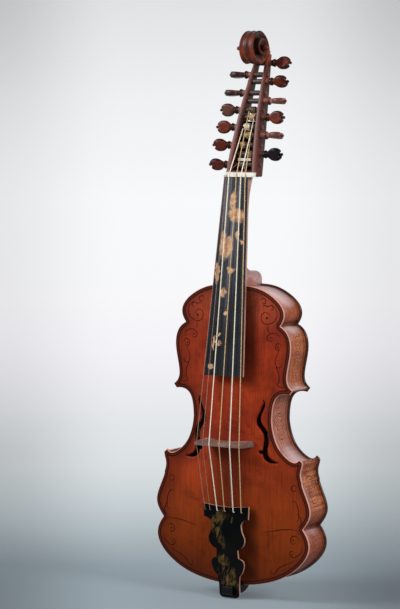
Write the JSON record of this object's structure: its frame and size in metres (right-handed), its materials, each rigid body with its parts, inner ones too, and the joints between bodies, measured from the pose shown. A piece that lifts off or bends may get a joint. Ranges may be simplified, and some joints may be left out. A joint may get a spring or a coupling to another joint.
{
  "type": "viola d'amore",
  "caption": "Bowed string instrument with a scalloped outline, serpentine soundholes, an inlaid fingerboard and turning pegs in a long open pegbox.",
  "frame": {"origin": "middle of the body's tail edge, on the outer face of the back", "axes": "+Z from the tail towards the scroll, +Y out of the back, -Y out of the belly, +X towards the treble side"},
  "size_m": [0.2184, 0.1179, 0.6966],
  "materials": {
    "belly_wood": "varnished spruce",
    "back_wood": "varnished maple",
    "rib_wood": "varnished flamed maple",
    "neck_maple": "varnished maple",
    "peg_wood": "polished",
    "dark_wood": "polished",
    "inner_spruce": "bare spruce",
    "bridge_maple": "bare maple",
    "pale_core": "polished",
    "tortoiseshell": "polished",
    "bone": "polished",
    "gut": "twisted gut",
    "steel_wire": "drawn",
    "brass_wire": "drawn"
  },
  "bodies": {
    "body": {"back": "back_wood", "belly": "belly_wood", "saddle": "dark_wood", "hitch_pin": "brass_wire", "rib_upper_lobe_bass": "rib_wood", "rib_waist_bass": "rib_wood", "rib_lower_lobe_bass": "rib_wood", "rib_upper_lobe_treble": "rib_wood", "rib_waist_treble": "rib_wood", "rib_lower_lobe_treble": "rib_wood", "rib_tail": "rib_wood", "rib_shoulder_bass": "rib_wood", "rib_shoulder_treble": "rib_wood", "top_block": "inner_spruce", "tail_block": "inner_spruce", "corner_blocks": "inner_spruce", "cusp_blocks": "inner_spruce", "linings": "inner_spruce", "bass_bar": "inner_spruce", "sound_post": "inner_spruce", "bridge": "bridge_maple", "fingerboard": "pale_core", "fingerboard_veneer": "tortoiseshell", "neck": "neck_maple", "head": "neck_maple", "nut": "bone", "string_rest": "bone", "tailpiece": "pale_core", "tailpiece_veneer": "tortoiseshell", "hook_bar": "dark_wood", "string_1": "gut", "string_2": "gut", "string_3": "gut", "string_4": "gut", "string_5": "gut", "string_6": "gut", "sympathetic_string": "steel_wire"},
    "peg_bass_1_turning": {"peg_bass_1": "peg_wood", "string_1_winding": "gut"},
    "peg_treble_1_turning": {"peg_treble_1": "peg_wood", "sympathetic_string_winding": "steel_wire"},
    "peg_bass_2_turning": {"peg_bass_2": "peg_wood", "string_2_winding": "gut"},
    "peg_treble_2_turning": {"peg_treble_2": "peg_wood", "string_6_winding": "gut"},
    "peg_bass_3_turning": {"peg_bass_3": "peg_wood", "string_3_winding": "gut"},
    "peg_treble_3_turning": {"peg_treble_3": "peg_wood", "string_5_winding": "gut"},
    "peg_bass_4_turning": {"peg_bass_4": "peg_wood", "string_4_winding": "gut"},
    "peg_treble_4_turning": {"peg_treble_4": "peg_wood"},
    "peg_bass_5_turning": {"peg_bass_5": "peg_wood"},
    "peg_treble_5_turning": {"peg_treble_5": "peg_wood"},
    "peg_bass_6_turning": {"peg_bass_6": "peg_wood"},
    "peg_treble_6_turning": {"peg_treble_6": "peg_wood"}
  },
  "joints": [
    {"name": "peg_bass_1_spin", "type": "hinge", "parent": "body", "child": "peg_bass_1_turning", "pos_m": [0, -0.01524, 0.516], "axis": [-1, 0, 0], "continuous": true},
    {"name": "peg_treble_1_spin", "type": "hinge", "parent": "body", "child": "peg_treble_1_turning", "pos_m": [0, -0.01277, 0.529], "axis": [1, 0, 0], "continuous": true},
    {"name": "peg_bass_2_spin", "type": "hinge", "parent": "body", "child": "peg_bass_2_turning", "pos_m": [0, -0.01037, 0.54], "axis": [-1, 0, 0], "continuous": true},
    {"name": "peg_treble_2_spin", "type": "hinge", "parent": "body", "child": "peg_treble_2_turning", "pos_m": [0, -0.00742, 0.552], "axis": [1, 0, 0], "continuous": true},
    {"name": "peg_bass_3_spin", "type": "hinge", "parent": "body", "child": "peg_bass_3_turning", "pos_m": [0, -0.00469, 0.562], "axis": [-1, 0, 0], "continuous": true},
    {"name": "peg_treble_3_spin", "type": "hinge", "parent": "body", "child": "peg_treble_3_turning", "pos_m": [0, -0.00111, 0.574], "axis": [1, 0, 0], "continuous": true},
    {"name": "peg_bass_4_spin", "type": "hinge", "parent": "body", "child": "peg_bass_4_turning", "pos_m": [0, 0.00181, 0.583], "axis": [-1, 0, 0], "continuous": true},
    {"name": "peg_treble_4_spin", "type": "hinge", "parent": "body", "child": "peg_treble_4_turning", "pos_m": [0, 0.00564, 0.594], "axis": [1, 0, 0], "continuous": true},
    {"name": "peg_bass_5_spin", "type": "hinge", "parent": "body", "child": "peg_bass_5_turning", "pos_m": [0, 0.00937, 0.604], "axis": [-1, 0, 0], "continuous": true},
    {"name": "peg_treble_5_spin", "type": "hinge", "parent": "body", "child": "peg_treble_5_turning", "pos_m": [0, 0.015, 0.618], "axis": [1, 0, 0], "continuous": true},
    {"name": "peg_bass_6_spin", "type": "hinge", "parent": "body", "child": "peg_bass_6_turning", "pos_m": [0, 0.01864, 0.6265], "axis": [-1, 0, 0], "continuous": true},
    {"name": "peg_treble_6_spin", "type": "hinge", "parent": "body", "child": "peg_treble_6_turning", "pos_m": [0, 0.02526, 0.641], "axis": [1, 0, 0], "continuous": true}
  ]
}
